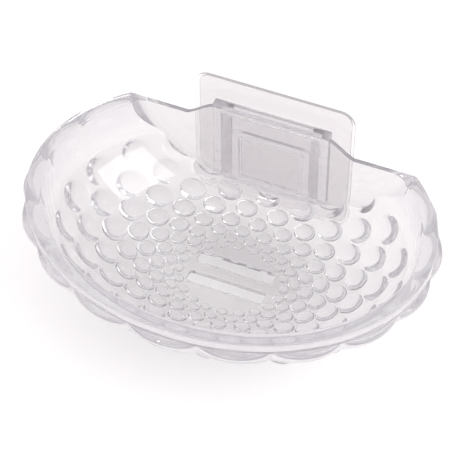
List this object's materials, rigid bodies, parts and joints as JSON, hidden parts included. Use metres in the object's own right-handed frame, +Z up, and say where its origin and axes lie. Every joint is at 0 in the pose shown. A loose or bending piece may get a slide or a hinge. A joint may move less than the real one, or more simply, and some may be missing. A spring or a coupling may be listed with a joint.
{
  "type": "soap dish",
  "caption": "Clear oval wall-mounted soap dish with lens-shaped bumps and drain slots, lifted off an adhesive bracket.",
  "frame": {"origin": "centre of the adhesive's back face, which lies on the wall", "axes": "+Y into the wall, +Z up, +X to the right as seen from in front of the dish"},
  "size_m": [0.1556, 0.1074, 0.062],
  "materials": {
    "clear_plastic": "clear polished moulding",
    "sheet_film": "clear film sheet",
    "adhesive_gel": "clear soft adhesive"
  },
  "bodies": {
    "wall_plate": {"adhesive_layer": "adhesive_gel", "carrier_sheet": "sheet_film", "bracket": "clear_plastic"},
    "dish_body": {"dish": "clear_plastic"}
  },
  "joints": [
    {"name": "dish_lift", "type": "slide", "parent": "wall_plate", "child": "dish_body", "axis": [0, 0, 1], "range_m": [0, 0.0352]}
  ]
}
